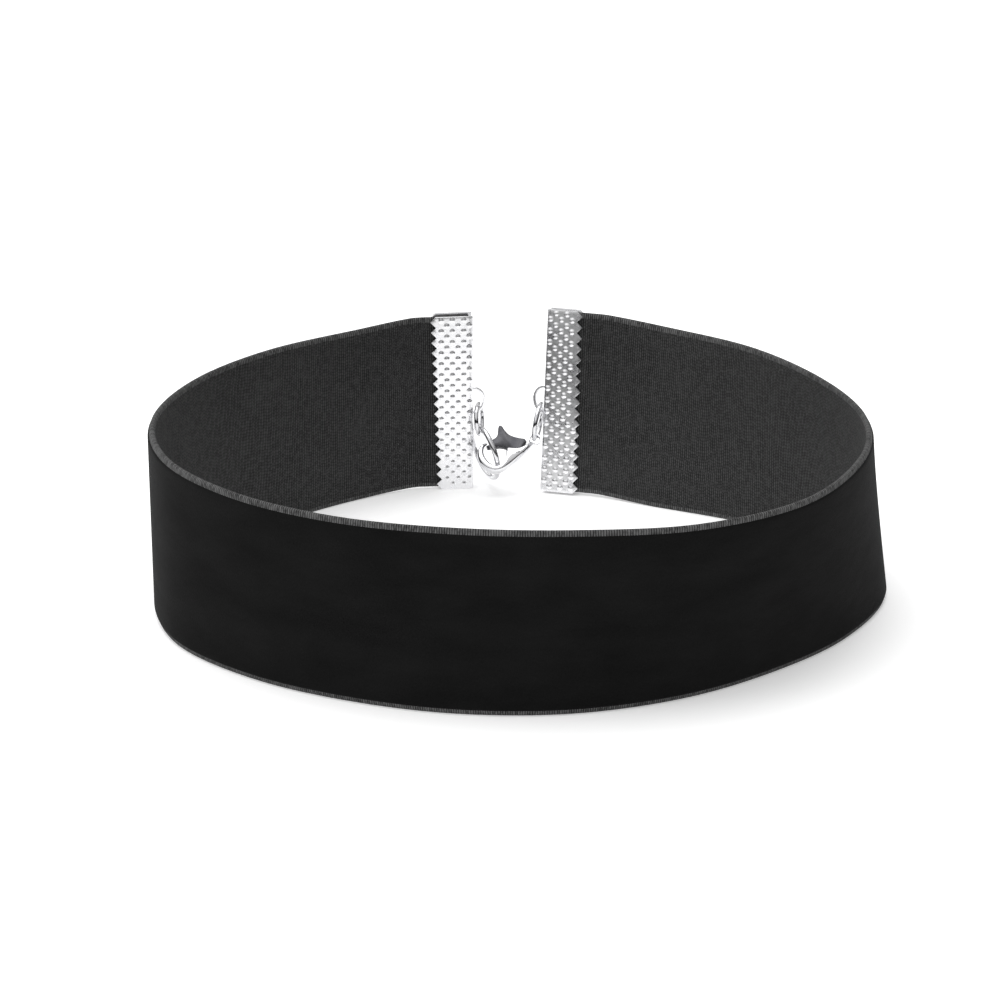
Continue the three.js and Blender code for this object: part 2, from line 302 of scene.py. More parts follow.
def noise_on(tree, place, scale, detail=3.0, stretch=None):
    if stretch:
        mapping = node_after(tree, "ShaderNodeMapping")
        mapping.inputs["Scale"].default_value = stretch
        tree.links.new(place, mapping.inputs["Vector"])
        place = mapping.outputs["Vector"]
    node = node_after(tree, "ShaderNodeTexNoise")
    node.inputs["Scale"].default_value = scale
    node.inputs["Detail"].default_value = detail
    tree.links.new(place, node.inputs["Vector"])
    return node.outputs["Fac"]


def velvet_pile_material():
    material, tree, shader = new_material("black_velvet_pile")
    place = cloth_place(tree)
    lay = noise_on(tree, place, 90, 4, (1.0, 2.2, 1.0))
    tufts = noise_on(tree, place, 5200, 2, (1.0, 0.55, 1.0))
    mixed = math_node(tree, "ADD", math_node(tree, "MULTIPLY", lay, 0.6),
                      math_node(tree, "MULTIPLY", tufts, 0.4))
    tree.links.new(ramp(tree, mixed, (0.3, PILE_DARK), (0.7, PILE_LIGHT)),
                   shader.inputs["Base Color"])
    bump(tree, tufts, shader, 0.5, PILE_DEPTH, bump(tree, lay, None, 0.25, PILE_LAY_DEPTH))
    shader.inputs["Roughness"].default_value = 1.0
    shader.inputs["Specular IOR Level"].default_value = 0.1
    shader.inputs["Sheen Weight"].default_value = 0.035
    shader.inputs["Sheen Roughness"].default_value = 0.32
    shader.inputs["Sheen Tint"].default_value = (0.8, 0.8, 0.82, 1)
    return material


def woven_material(name, dark, light, stitches, depth, sheen):
    material, tree, shader = new_material(name)
    place = cloth_place(tree)
    threads = node_after(tree, "ShaderNodeGroup", node_tree=woven_threads)
    threads.inputs["Along"].default_value = stitches
    tree.links.new(place, threads.inputs["Vector"])
    worn = noise_on(tree, place, 60, 3)
    # The base colour carries the threads' painted shade and painted highlight, with each
    # stitch's random tone and a soft random mottling.
    shade = math_node(tree, "ADD", threads.outputs["Shade"],
                      math_node(tree, "MULTIPLY", worn, 0.25))
    shade = math_node(tree, "MULTIPLY", shade, 0.7)
    tree.links.new(ramp(tree, shade, (0.2, dark), (0.9, light)), shader.inputs["Base Color"])
    bump(tree, threads.outputs["Height"], shader, 0.7, depth)
    shader.inputs["Roughness"].default_value = 0.85
    shader.inputs["Specular IOR Level"].default_value = 0.25
    shader.inputs["Sheen Weight"].default_value = sheen
    shader.inputs["Sheen Roughness"].default_value = 0.5
    return material


woven_threads = build_thread_group()
velvet_pile = velvet_pile_material()
woven_back = woven_material("ribbed_ground_cloth", BACK_DARK, BACK_LIGHT,
                            BACK_STITCHES_PER_METRE, THREAD_DEPTH, sheen=0.01)
selvedge_cloth = woven_material("bound_selvedge", SELVEDGE_DARK, SELVEDGE_LIGHT,
                                SELVEDGE_STITCHES_PER_METRE, SELVEDGE_DEPTH, sheen=0.0)
velvet_ribbon = weave_ribbon()
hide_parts("ribbon")
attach(velvet_ribbon, "root")


# ---- crimps ----
# Two strips of bright plated sheet, stamped all over with round bosses and folded round the
# ends of the ribbon. Their toothed edges bite the cloth, and a half-round tab with a hole
# stands out of the middle of each fold.
CRIMP_HEIGHT = 30.4 * MM
CRIMP_SHEET = 0.42 * MM
CRIMP_HALF = 0.975 * MM
CRIMP_BEND = 0.46 * MM
CRIMP_FLOOR_GAP = 0.05 * MM
CRIMP_CLOSED_HALF = 1.2 * MM
SHEET_COLUMNS = 6
BEND_STEPS = 5
SHEARED_EDGE = 0.05 * MM
CRIMP_TEETH = 17
TOOTH_DEPTH = 0.85 * MM
TOOTH_BITE = 0.2 * MM
TOOTH_DROP = 0.06 * MM
TOOTH_ROOT = 0.1 * MM
PLATE_DIP = 0.01 * MM
BOSS_PITCH = 0.92 * MM
BOSS_RISE = 1.93 * MM
BOSS_FIRST = 0.86 * MM
BOSS_COLUMNS = 6
BOSS_ROWS = 16
BOSS_STARTS = (0.95, 0.45)
BOSS_END = 0.55 * MM
BOSS_RADIUS = 0.38 * MM
BOSS_HEIGHT = 0.12 * MM
# From the foot up: shares of the boss's radius and height.
BOSS_FOOT = (1.38, -0.12)
BOSS_PROFILE = [(1.12, 0.06), (0.86, 0.36), (0.60, 0.74), (0.30, 0.95)]
TAB_REACH = 1.95 * MM
TAB_HALF = 2.35 * MM
TAB_RIM = 0.5 * MM
TAB_SHEET = 0.5 * MM
TAB_ROOT = 0.25 * MM
TAB_ROUNDING = 0.14 * MM
# Where each fold stands and how it is turned, as the frame has them.
CRIMPS = {
    "crimp_left": dict(side=-1, fold=(-7.372, 48.457), yaw=6, lean=-2.8, top=7.2, bottom=6.2,
                       tab_bend=0),
    "crimp_right": dict(side=1, fold=(4.228, 49.057), yaw=17, lean=9, top=6.1, bottom=6.6,
                        tab_bend=5),
}


def crimp_place(side, fold, yaw, lean, **_):
    """The matrix that sets a crimp made at the origin, fold on Y, in its place."""
    yaw, lean = math.radians(yaw), math.radians(lean)
    along = Vector((side * math.cos(yaw), -math.sin(yaw), 0))
    outwards = Vector((side * math.sin(yaw), math.cos(yaw), 0))
    up = Vector((0, 0, math.cos(lean))) + outwards * math.sin(lean)
    rise = (CRIMP_HEIGHT / 2 * math.cos(lean) + CRIMP_CLOSED_HALF * abs(math.sin(lean))
            + CRIMP_FLOOR_GAP)
    turn = Matrix((along, up, along.cross(up))).transposed().to_4x4()
    return Matrix.Translation((fold[0] * MM, fold[1] * MM, rise)) @ turn


def apply_modifiers(piece):
    make_active(piece)
    for modifier in list(piece.modifiers):
        bpy.ops.object.modifier_apply(modifier=modifier.name)


def pick(piece, test, kind="VERT"):
    """Selects what passes the test, by its place, and leaves the piece in edit mode."""
    bpy.ops.object.mode_set(mode="EDIT")
    bpy.context.tool_settings.mesh_select_mode = [kind == k for k in ("VERT", "EDGE", "FACE")]
    mesh = bmesh.from_edit_mesh(piece.data)
    for vertex in mesh.verts:
        vertex.select_set(False)
    for face in mesh.faces:
        face.select_set(False)
    for part in mesh.verts if kind == "VERT" else mesh.faces:
        place = part.co if kind == "VERT" else part.calc_center_median()
        if test(place):
            part.select_set(True)
    mesh.select_flush_mode()
    bmesh.update_edit_mesh(piece.data)


def fold_sheet(name, top, bottom):
    """The toothed strip, mirrored, and folded by two quarter bends and a flat."""
    deselect_all()
    bpy.ops.mesh.primitive_grid_add(x_subdivisions=SHEET_COLUMNS,
                                    y_subdivisions=4 * CRIMP_TEETH, size=1)
    sheet = bpy.context.object
    sheet.name = name
    for vertex in sheet.data.vertices:
        column, share = round((vertex.co.x + 0.5) * SHEET_COLUMNS), vertex.co.y + 0.5
        edge = (bottom + (top - bottom) * share) * MM
        valley = abs(2 * (share * CRIMP_TEETH % 1) - 1)
        if column == SHEET_COLUMNS:
            across = edge - TOOTH_DEPTH * valley
            sink = TOOTH_BITE * (1 - valley) + TOOTH_DROP
        else:
            flat = edge - TOOTH_DEPTH - TOOTH_ROOT - CRIMP_BEND
            across = CRIMP_BEND + flat * column / (SHEET_COLUMNS - 1)
            sink = PLATE_DIP * column
        vertex.co = (across, (share - 0.5) * CRIMP_HEIGHT, CRIMP_HALF - sink)
    bpy.ops.object.mode_set(mode="EDIT")
    bpy.ops.mesh.select_all(action="SELECT")
    bpy.ops.mesh.duplicate()
    bpy.ops.transform.resize(value=(1, 1, -1), center_override=(0, 0, 0))
    near_fold = CRIMP_BEND + 1e-6
    straight = CRIMP_HALF - (CRIMP_BEND - CRIMP_SHEET / 2)
    pick(sheet, lambda p: p.x < near_fold and p.z > 0)
    bpy.ops.mesh.spin(steps=BEND_STEPS, angle=-math.pi / 2,
                      center=(CRIMP_BEND, 0, straight), axis=(0, 1, 0))
    bpy.ops.mesh.extrude_region_move(
        TRANSFORM_OT_translate={"value": (0, 0, -2 * straight)})
    bpy.ops.mesh.spin(steps=BEND_STEPS, angle=-math.pi / 2,
                      center=(CRIMP_BEND, 0, -straight), axis=(0, 1, 0))
    bpy.ops.mesh.select_all(action="SELECT")
    bpy.ops.mesh.remove_doubles(threshold=2e-6)
    bpy.ops.mesh.normals_make_consistent(inside=False)
    bpy.ops.object.mode_set(mode="OBJECT")
    thick = sheet.modifiers.new("sheet", "SOLIDIFY")
    thick.thickness, thick.offset = CRIMP_SHEET, 0
    soft = sheet.modifiers.new("sheared_edge", "BEVEL")
    soft.width, soft.segments, soft.limit_method = SHEARED_EDGE, 2, "ANGLE"
    soft.angle_limit = math.radians(35)
    apply_modifiers(sheet)
    return sheet


def stamp_boss():
    """One round boss with its blended foot, standing on the origin."""
    deselect_all()
    wide, high = BOSS_FOOT
    bpy.ops.mesh.primitive_circle_add(vertices=16, radius=BOSS_RADIUS * wide,
                                      fill_type="NGON", location=(0, 0, BOSS_HEIGHT * high))
    boss = bpy.context.object
    bpy.ops.object.transform_apply(location=True, rotation=True, scale=True)
    bpy.ops.object.mode_set(mode="EDIT")
    bpy.ops.mesh.select_all(action="SELECT")
    for radius, rise in BOSS_PROFILE:
        bpy.ops.mesh.extrude_region_move(
            TRANSFORM_OT_translate={"value": (0, 0, (rise - high) * BOSS_HEIGHT)})
        bpy.ops.transform.resize(value=(radius / wide, radius / wide, 1),
                                 center_override=(0, 0, 0))
        wide, high = radius, rise
    bpy.ops.mesh.extrude_region_move(
        TRANSFORM_OT_translate={"value": (0, 0, (1 - high) * BOSS_HEIGHT)})
    bpy.ops.mesh.merge(type="CENTER")
    bpy.ops.mesh.select_all(action="SELECT")
    bpy.ops.mesh.normals_make_consistent(inside=False)
    bpy.ops.object.mode_set(mode="OBJECT")
    return boss


def copy_of(piece, matrix):
    twin = piece.copy()
    twin.data = piece.data.copy()
    bpy.context.scene.collection.objects.link(twin)
    twin.data.transform(matrix)
    twin.matrix_world = Matrix.Identity(4)
    return twin


def boss_places(top, bottom):
    """Staggered rows of bosses that stop short of the ends and of the teeth."""
    face = CRIMP_HALF + CRIMP_SHEET / 2
    places = []
    for column in range(BOSS_COLUMNS):
        across = BOSS_FIRST + column * BOSS_PITCH
        start = BOSS_STARTS[column % 2] * BOSS_RISE - CRIMP_HEIGHT / 2
        for row in range(BOSS_ROWS):
            up = start + row * BOSS_RISE
            edge = (bottom + (top - bottom) * (up / CRIMP_HEIGHT + 0.5)) * MM
            on_plate = across < edge - TOOTH_DEPTH - TOOTH_ROOT
            if on_plate and up < CRIMP_HEIGHT / 2 - BOSS_END:
                places.append((across, up, face - PLATE_DIP * across / (2 * MM)))
    return places


def tab_ring(bend, side):
    """The half-round tab with its half-round hole, its root sunk in the fold."""
    deselect_all()
    bpy.ops.mesh.primitive_circle_add(vertices=40, radius=1)
    tab = bpy.context.object
    bpy.ops.object.mode_set(mode="EDIT")
    bpy.ops.mesh.select_all(action="SELECT")
    bpy.ops.transform.resize(value=(TAB_REACH, TAB_HALF, 1), center_override=(0, 0, 0))
    bpy.ops.mesh.extrude_region_move()
    shrink = ((TAB_REACH - TAB_RIM) / TAB_REACH, (TAB_HALF - TAB_RIM) / TAB_HALF, 1)
    bpy.ops.transform.resize(value=shrink, center_override=(0, 0, 0))
    bpy.ops.mesh.select_all(action="SELECT")
    bpy.ops.mesh.extrude_region_move(
        TRANSFORM_OT_translate={"value": (0, 0, TAB_SHEET)})
    bpy.ops.mesh.select_all(action="SELECT")
    bpy.ops.transform.translate(value=(0, 0, -TAB_SHEET / 2))
    bpy.ops.mesh.bisect(plane_co=(TAB_ROOT, 0, 0), plane_no=(1, 0, 0), use_fill=True,
                        clear_outer=True)
    bpy.ops.mesh.select_all(action="SELECT")
    bpy.ops.mesh.normals_make_consistent(inside=False)
    bpy.ops.object.mode_set(mode="OBJECT")
    soft = tab.modifiers.new("rounded_rim", "BEVEL")
    soft.width, soft.segments, soft.limit_method = TAB_ROUNDING, 3, "ANGLE"
    apply_modifiers(tab)
    tab.data.transform(Matrix.Rotation(-side * math.radians(bend), 4, "Y"))
    return tab


def join_into(piece, parts):
    make_active(piece)
    for part in parts:
        part.select_set(True)
    bpy.ops.object.join()
    return piece


def build_wear_group():
    """Fine unevenness of plated metal: a soft cloudiness and faint rubbing marks."""
    group, given, out = new_group(
        "plating_wear",
        [("Vector", "NodeSocketVector", None), ("Cloud Size", "NodeSocketFloat", 400.0),
         ("Rub Size", "NodeSocketFloat", 3000.0)],
        [("Cloud", "NodeSocketFloat", None), ("Rub", "NodeSocketFloat", None)],
    )
    cloud = node_after(group, "ShaderNodeTexNoise")
    cloud.inputs["Detail"].default_value = 4
    rub = node_after(group, "ShaderNodeTexNoise")
    rub.inputs["Detail"].default_value = 3
    for node, size in ((cloud, "Cloud Size"), (rub, "Rub Size")):
        group.links.new(given.outputs["Vector"], node.inputs["Vector"])
        group.links.new(given.outputs[size], node.inputs["Scale"])
    group.links.new(cloud.outputs["Fac"], out.inputs["Cloud"])
    group.links.new(rub.outputs["Fac"], out.inputs["Rub"])
    return group


def plated_material(name, colour, dull, rough, dent):
    material, tree, shader = new_material(name)
    place = node_after(tree, "ShaderNodeTexCoord").outputs["Object"]
    wear = node_after(tree, "ShaderNodeGroup", node_tree=plating_wear)
    tree.links.new(place, wear.inputs["Vector"])
    tree.links.new(ramp(tree, wear.outputs["Cloud"], (0.35, dull), (0.65, colour)),
                   shader.inputs["Base Color"])
    mixed = math_node(tree, "ADD", math_node(tree, "MULTIPLY", wear.outputs["Cloud"], 0.5),
                      math_node(tree, "MULTIPLY", wear.outputs["Rub"], 0.5))
    tree.links.new(ramp(tree, mixed, (0.3, rough[0]), (0.7, rough[1])),
                   shader.inputs["Roughness"])
    bump(tree, mixed, shader, 0.3, dent)
    shader.inputs["Metallic"].default_value = 1.0
    return material


plating_wear = build_wear_group()
plated_sheet = plated_material("bright_plated_sheet", (0.90, 0.90, 0.91), (0.84, 0.84, 0.86),
                               (0.24, 0.34), 0.00006)
boss_pattern = stamp_boss()
for node, place in CRIMPS.items():
    top, bottom = place["top"], place["bottom"]
    crimp = fold_sheet(node + "_sheet", top, bottom)
    parts = [tab_ring(place["tab_bend"], place["side"])]
    for across, up, face in boss_places(top, bottom):
        for side, half_turn in ((1, 0), (-1, math.pi)):
            set_down = Matrix.Translation((side * across, up, face))
            turned_over = Matrix.Rotation(half_turn, 4, "Y")
            parts.append(copy_of(boss_pattern, turned_over @ set_down))
    join_into(crimp, parts)
    crimp.data.transform(crimp_place(**place))
    make_active(crimp)
    bpy.ops.object.shade_smooth_by_angle(angle=math.radians(40))
    crimp.data.materials.append(plated_sheet)
    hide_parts(node)
    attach(crimp, "root")
bpy.data.objects.remove(boss_pattern)


# ---- jump rings ----
# Three rings of bright round wire, each bent to a circle and pushed shut, with a fine slit
# where the ends of the wire meet. Two small ones hang in the tabs, and the large one joins
# the left ring to the clasp's hook.
SLIT = 0.06 * MM
RING_SEGMENTS = 96
WIRE_SEGMENTS = 20
RINGS = {
    "jump_ring_left": dict(radius=2.5, wire=0.4, faces=(0.982, -0.171, 0.081), slit=190),
    "jump_ring_middle": dict(radius=4.6, wire=0.45, faces=(0.888, 0.412, 0.204), slit=215),
    "jump_ring_right": dict(radius=3.0, wire=0.4, faces=(0.970, -0.204, -0.130), slit=70),
}


def bend_ring(node, radius, wire, faces, slit):
    """One ring of wire, opened over one segment and pushed shut to a fine slit."""
    low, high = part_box(node)
    deselect_all()
    bpy.ops.mesh.primitive_torus_add(
        major_radius=radius * MM, minor_radius=wire * MM, major_segments=RING_SEGMENTS,
        minor_segments=WIRE_SEGMENTS)
    ring = bpy.context.object
    ring.name = node + "_wire"
    gap = math.tau / RING_SEGMENTS

    def turn_of(place):
        return math.atan2(place.y, place.x)

    pick(ring, lambda p: 0.1 * gap < turn_of(p) < 0.9 * gap, "FACE")
    bpy.ops.mesh.delete(type="FACE")
    bpy.ops.mesh.select_all(action="SELECT")
    bpy.ops.mesh.fill_holes(sides=0)
    bpy.ops.mesh.select_all(action="SELECT")
    bpy.ops.mesh.normals_make_consistent(inside=False)
    bpy.ops.object.mode_set(mode="OBJECT")
    close = (gap - SLIT / (radius * MM)) / 2
    for vertex in ring.data.vertices:
        turn = turn_of(vertex.co)
        if abs(turn) < gap * 0.1:
            vertex.co = Matrix.Rotation(close, 3, "Z") @ vertex.co
        elif abs(turn - gap) < gap * 0.1:
            vertex.co = Matrix.Rotation(-close, 3, "Z") @ vertex.co
    turned = Vector((0, 0, 1)).rotation_difference(Vector(faces)).to_matrix().to_4x4()
    spun = Matrix.Rotation(math.radians(slit), 4, "Z")
    ring.data.transform(Matrix.Translation((low + high) / 2) @ turned @ spun)
    make_active(ring)
    bpy.ops.object.shade_smooth_by_angle(angle=math.radians(40))
    ring.data.materials.append(plated_wire)
    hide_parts(node)
    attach(ring, "root")


plated_wire = plated_material("bright_plated_wire", (0.74, 0.74, 0.75), (0.66, 0.66, 0.68),
                              (0.08, 0.18), 0.00003)
for node, bent in RINGS.items():
    bend_ring(node, **bent)


# ---- clasp body ----
# A small lobster clasp, cast in one piece and plated: an eyelet, a neck, two cheeks with a
# slot between them for the lever, and a hook with a rounded section that curls back to meet
# the lever's tip.
CLASP_ORIGIN = (2.128, 48.657, 9.2)
CLASP_ALONG = (-0.907, -0.332, -0.26)
CLASP_ACROSS = (-0.42, 0.645, 0.64)
EYELET = (-0.1, -1.1)
EYELET_RADIUS = 0.9
EYELET_WIRE = 0.17
EYELET_DEEPER = 2.2
CLAW_AROUND = 24
CLAW_SQUARED = 0.72
# Stations from the eyelet to the hook's tip: inner edge, outer edge and half thickness, in
# the clasp's own plane, in mm.
CLAW = [
    ((0.62, -1.22), (0.58, -1.80), 0.36), ((0.95, -1.16), (0.92, -2.10), 0.50),
    ((1.50, -1.40), (1.38, -2.34), 0.74), ((2.10, -1.58), (1.98, -2.60), 0.94),
    ((2.80, -1.64), (2.72, -2.92), 1.06), ((3.50, -1.48), (3.52, -3.22), 1.10),
    ((4.12, -1.08), (4.32, -3.50), 1.10), ((4.66, -0.62), (5.02, -3.72), 1.08),
    ((5.02, -0.72), (5.56, -3.88), 1.05), ((5.34, -1.38), (6.10, -4.02), 1.01),
    ((5.80, -2.22), (6.72, -4.18), 0.98), ((6.40, -2.88), (7.34, -4.27), 0.96),
    ((7.06, -3.22), (8.02, -4.22), 0.94), ((7.68, -3.24), (8.76, -3.98), 0.93),
    ((8.18, -2.96), (9.36, -3.44), 0.92), ((8.56, -2.42), (9.80, -2.76), 0.91),
    ((8.80, -1.74), (10.08, -1.92), 0.89), ((8.90, -1.02), (10.18, -1.12), 0.86),
    ((8.86, -0.40), (10.10, -0.32), 0.83), ((8.70, 0.12), (9.80, 0.46), 0.79),
    ((8.50, 0.56), (9.30, 1.02), 0.74), ((8.24, 0.90), (8.76, 1.38), 0.68),
    ((7.94, 1.06), (8.18, 1.56), 0.60), ((7.66, 1.12), (7.72, 1.54), 0.48),
    ((7.50, 1.22), (7.52, 1.44), 0.26),
]
SLOT_WIDTH = 1.4
SLOT = [
    (1.25, 0.6), (1.25, -1.25), (1.9, -1.7), (2.7, -2.05), (3.05, -2.3), (3.2, -2.68),
    (3.75, -2.92), (4.25, -2.8), (4.6, -2.4), (5.0, -2.1), (6.2, -1.95), (6.2, 0.6),
]


def clasp_place():
    """The matrix from the clasp's plane, in mm, to its place."""
    along = Vector(CLASP_ALONG).normalized()
    across = Vector(CLASP_ACROSS)
    across = (across - along * across.dot(along)).normalized()
    turn = Matrix((along, across, along.cross(across))).transposed().to_4x4()
    return Matrix.Translation(Vector(CLASP_ORIGIN) * MM) @ turn @ Matrix.Scale(MM, 4)


def flat_prism(name, outline, thickness, rounding=()):
    """A closed outline in the clasp's plane, drawn out to both sides of it.

    Rounding is the steps in and up that soften both of its edges.
    """
    deselect_all()
    bpy.ops.mesh.primitive_circle_add(vertices=len(outline), radius=1, fill_type="NGON")
    prism = bpy.context.object
    prism.name = name
    for vertex, (along, across) in zip(prism.data.vertices, outline):
        vertex.co = (along, across, -thickness / 2)
    bpy.ops.object.mode_set(mode="EDIT")
    bpy.ops.mesh.select_all(action="SELECT")
    bpy.ops.mesh.extrude_region_move(TRANSFORM_OT_translate={"value": (0, 0, thickness)})
    bpy.ops.mesh.select_all(action="SELECT")
    bpy.ops.mesh.normals_make_consistent(inside=False)
    for end in (-1, 1):
        pick(prism, lambda p: p.z * end > thickness * 0.45, "FACE")
        for inwards, upwards in rounding:
            bpy.ops.mesh.inset(thickness=inwards, depth=upwards)
    bpy.ops.mesh.select_all(action="SELECT")
    bpy.ops.mesh.quads_convert_to_tris(ngon_method="CLIP")
    bpy.ops.object.mode_set(mode="OBJECT")
    return prism


def face_outwards(piece):
    """Turns a closed piece's faces out where the sharp bends have fooled the operator."""
    mesh = bmesh.new()
    mesh.from_mesh(piece.data)
    if mesh.calc_volume(signed=True) < 0:
        bmesh.ops.reverse_faces(mesh, faces=mesh.faces)
        mesh.to_mesh(piece.data)
    mesh.free()


def cast_claw():
    """The claw, drawn out station by station from a round blank."""
    deselect_all()
    bpy.ops.mesh.primitive_circle_add(vertices=CLAW_AROUND, radius=1, fill_type="NGON")
    claw = bpy.context.object
    claw.name = "lobster_clasp_body"

    def ring_at(station):
        inner, outer, half = station
        middle = (Vector(inner) + Vector(outer)) / 2
        reach = (Vector(outer) - Vector(inner)) / 2
        for step in range(CLAW_AROUND):
            turn = math.tau * step / CLAW_AROUND
            c, s = math.cos(turn), math.sin(turn)
            wide = math.copysign(abs(c) ** CLAW_SQUARED, c)
            deep = math.copysign(abs(s) ** CLAW_SQUARED, s)
            spot = middle + reach * wide
            yield Vector((spot.x, spot.y, half * deep))

    for vertex, spot in zip(claw.data.vertices, ring_at(CLAW[0])):
        vertex.co = spot
    bpy.ops.object.mode_set(mode="EDIT")
    bpy.ops.mesh.select_all(action="SELECT")
    for station in CLAW[1:]:
        bpy.ops.mesh.extrude_region_move()
        mesh = bmesh.from_edit_mesh(claw.data)
        mesh.verts.ensure_lookup_table()
        latest = sorted((v for v in mesh.verts if v.select), key=lambda v: v.index)
        for vertex, spot in zip(latest, ring_at(station)):
            vertex.co = spot
        bmesh.update_edit_mesh(claw.data)
    bpy.ops.mesh.select_all(action="SELECT")
    bpy.ops.mesh.normals_make_consistent(inside=False)
    bpy.ops.object.mode_set(mode="OBJECT")
    round_off = claw.modifiers.new("round_off", "SUBSURF")
    round_off.levels = round_off.render_levels = 1
    apply_modifiers(claw)
    face_outwards(claw)
    return claw


def cut_with(piece, cutter):
    cut = piece.modifiers.new("cut", "BOOLEAN")
    cut.operation, cut.solver, cut.object = "DIFFERENCE", "MANIFOLD", cutter
    apply_modifiers(piece)
    piece.data.materials.clear()
    bpy.data.objects.remove(cutter)


def cast_eyelet():
    deselect_all()
    bpy.ops.mesh.primitive_torus_add(
        location=(*EYELET, 0), major_radius=EYELET_RADIUS, minor_radius=EYELET_WIRE,
        major_segments=40, minor_segments=14)
    eyelet = bpy.context.object
    bpy.ops.object.mode_set(mode="EDIT")
    bpy.ops.mesh.select_all(action="SELECT")
    bpy.ops.transform.resize(value=(1, 1, EYELET_DEEPER), center_override=(0, 0, 0))
    bpy.ops.object.mode_set(mode="OBJECT")
    bpy.ops.object.transform_apply(location=True, rotation=True, scale=True)
    return eyelet


plated_casting = plated_material("bright_plated_casting", (0.80, 0.80, 0.81),
                                 (0.72, 0.72, 0.74), (0.07, 0.17), 0.00004)
clasp_body = cast_claw()
cut_with(clasp_body, flat_prism("slot_cutter", SLOT, SLOT_WIDTH))
join_into(clasp_body, [cast_eyelet()])
clasp_body.data.transform(clasp_place())
make_active(clasp_body)
bpy.ops.object.shade_smooth_by_angle(angle=math.radians(38))
clasp_body.data.materials.append(plated_casting)
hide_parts("clasp_body")
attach(clasp_body, "root")


# ---- clasp pivot ----
# The rivet that the lever turns on. It is pressed through both cheeks and its two ends are
# set to low round heads.
PIVOT = (3.75, -2.3)
RIVET_RADIUS = 0.3
RIVET_LENGTH = 2.16
RIVET_SPREAD = 1.3
# How much each step of a head rises and how far it narrows.
RIVET_HEAD = [(0.05, 0.9), (0.04, 0.72), (0.02, 0.45)]


def set_rivet():
    deselect_all()
    bpy.ops.mesh.primitive_cylinder_add(vertices=28, radius=RIVET_RADIUS,
                                        depth=RIVET_LENGTH, location=(*PIVOT, 0))
    rivet = bpy.context.object
    rivet.name = "clasp_rivet"
    bpy.ops.object.transform_apply(location=True, rotation=True, scale=True)
    for end in (-1, 1):
        pick(rivet, lambda p: p.z * end > RIVET_LENGTH * 0.45, "FACE")
        bpy.ops.mesh.extrude_region_move()
        centre = (*PIVOT, RIVET_LENGTH / 2 * end)
        bpy.ops.transform.resize(value=(RIVET_SPREAD, RIVET_SPREAD, 1),
                                 center_override=centre)
        for rise, shrink in RIVET_HEAD:
            bpy.ops.mesh.extrude_region_move(
                TRANSFORM_OT_translate={"value": (0, 0, rise * end)})
            bpy.ops.transform.resize(value=(shrink, shrink, 1), center_override=centre)
    bpy.ops.mesh.select_all(action="SELECT")
    bpy.ops.mesh.normals_make_consistent(inside=False)
    bpy.ops.object.mode_set(mode="OBJECT")
    return rivet


clasp_rivet = set_rivet()
clasp_rivet.data.transform(clasp_place())
make_active(clasp_rivet)
bpy.ops.object.shade_smooth_by_angle(angle=math.radians(38))
clasp_rivet.data.materials.append(plated_casting)
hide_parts("clasp_pivot")
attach(clasp_rivet, "root")


# ---- clasp lever ----
# A stamped steel blade between the cheeks. It turns on the rivet, closes the hook with its
# tip, and is pulled back by the pointed thumb nub. A spring hidden in the slot shuts it.
LEVER_THICKNESS = 1.16
LEVER_HOLE = 0.36
LEVER_ROUNDING = [(0.025, 0.08), (0.05, 0.06), (0.07, 0.03)]
LEVER_TIP = [(7.82, 0.45), (7.85, 0.88), (7.12, 0.93)]
LEVER_TOP = [
    (7.05, 1.4), (6.5, 1.55), (5.75, 1.7), (5.2, 2.15), (4.7, 3.05), (4.3, 3.45),
    (3.95, 3.15), (3.85, 2.3), (3.55, 1.3), (2.9, 0.55), (2.2, 0.0), (1.5, -0.45),
]
LEVER_UNDER = [
    (1.42, -1.05), (2.0, -1.5), (2.75, -1.82), (3.2, -2.1), (3.3, -2.5), (3.75, -2.75),
    (4.15, -2.63), (4.32, -2.25), (4.55, -1.45), (5.0, -0.72), (5.8, -0.12), (6.9, 0.22),
]


def stamp_lever():
    outline = [Vector(p) for p in LEVER_TIP] + through(LEVER_TOP, 3) + through(LEVER_UNDER, 3)
    softened = sum(up for _, up in LEVER_ROUNDING)
    lever = flat_prism("clasp_lever_blade", outline, LEVER_THICKNESS - 2 * softened,
                       LEVER_ROUNDING)
    deselect_all()
    bpy.ops.mesh.primitive_cylinder_add(vertices=28, radius=LEVER_HOLE, depth=3,
                                        location=(*PIVOT, 0))
    cut_with(lever, bpy.context.object)
    return lever


# The lever's near-black metal colour is a painted dark reflection: its face gets a dark base
# colour so that it shows dark where its plating would otherwise mirror the bright studio as
# the body does.
lever_painted_dark_reflection = plated_material("steel_with_painted_dark_reflection", (0.075, 0.075, 0.08), (0.045, 0.045, 0.05),
                              (0.2, 0.34), 0.00005)
clasp_lever = stamp_lever()
clasp_lever.data.transform(clasp_place())
make_active(clasp_lever)
bpy.ops.object.shade_smooth_by_angle(angle=math.radians(38))
clasp_lever.data.materials.append(lever_painted_dark_reflection)
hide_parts("clasp_lever")
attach(clasp_lever, "clasp_lever")


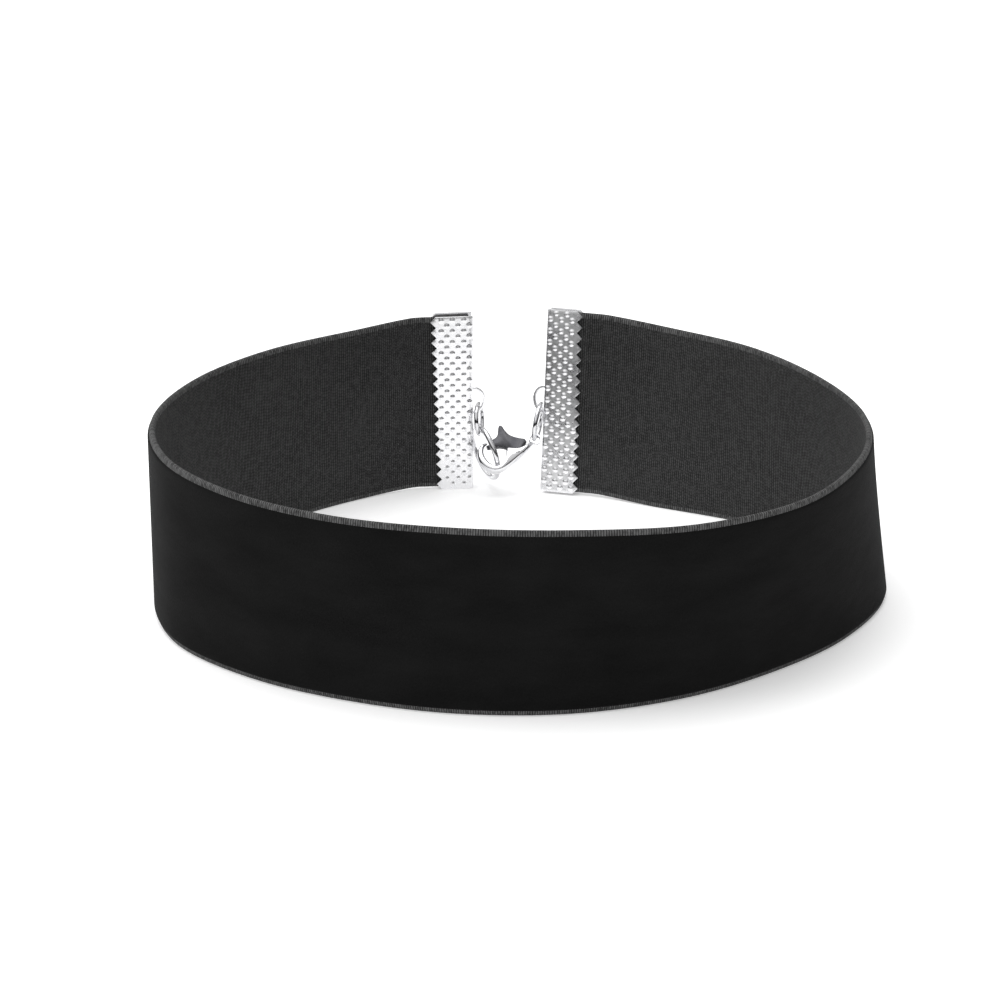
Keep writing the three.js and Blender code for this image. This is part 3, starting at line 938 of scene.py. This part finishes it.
# ---- studio ----
# A plain pale floor under soft even light, with one wide lamp above, and the camera a little
# above the choker in front of it.
CAMERA_PLACE = (-0.003159, -0.753588, 0.289700)
CAMERA_PITCH = 70.0
CAMERA_ROLL = -0.318
CAMERA_LENS = 185.15
SOFTBOX_PLACE = (-0.15, 0.1, 0.9)
SOFTBOX_SIZE = 0.8
SOFTBOX_WATTS = 5
FLOOR_SIZE = 6
FLOOR_GLOW = 0.28

deselect_all()
bpy.ops.mesh.primitive_plane_add(size=FLOOR_SIZE, location=(0, 0, 0))
floor = bpy.context.object
floor.name = "studio_floor"
floor_paint, floor_tree, floor_shader = new_material("pale_floor")
floor_shader.inputs["Base Color"].default_value = (0.95, 0.95, 0.95, 1)
floor_shader.inputs["Emission Color"].default_value = (1, 1, 1, 1)
floor_shader.inputs["Emission Strength"].default_value = FLOOR_GLOW
floor_shader.inputs["Roughness"].default_value = 0.9
floor_shader.inputs["Specular IOR Level"].default_value = 0.1
floor.data.materials.append(floor_paint)

studio = bpy.data.worlds.new("studio_light")
bpy.context.scene.world = studio
studio.use_nodes = True
sky = studio.node_tree
direction = node_after(sky, "ShaderNodeSeparateXYZ")
sky.links.new(node_after(sky, "ShaderNodeTexCoord").outputs["Generated"], direction.inputs[0])
height = ramp(sky, direction.outputs[2], (0.0, 0.7), (0.14, 0.28), (0.5, 1.0))
falling_right = math_node(sky, "MULTIPLY", direction.outputs[0], -0.48)
from_left = math_node(sky, "ADD", falling_right, 0.86)
sky.links.new(height, sky.nodes["Background"].inputs["Color"])
sky.links.new(from_left, sky.nodes["Background"].inputs["Strength"])

bpy.ops.object.light_add(type="AREA", location=SOFTBOX_PLACE)
lamp = bpy.context.object
lamp.name = "overhead_softbox"
lamp.data.size = SOFTBOX_SIZE
lamp.data.energy = SOFTBOX_WATTS

bpy.ops.object.camera_add(location=CAMERA_PLACE)
camera = bpy.context.object
turn = Matrix.Rotation(math.radians(CAMERA_PITCH), 4, "X") @ Matrix.Rotation(
    math.radians(CAMERA_ROLL), 4, "Z")
camera.matrix_world = Matrix.Translation(CAMERA_PLACE) @ turn
camera.data.lens = CAMERA_LENS
camera.data.sensor_width = 36
camera.data.clip_start = 0.01
bpy.context.scene.camera = camera
bpy.context.scene.view_settings.view_transform = "Standard"
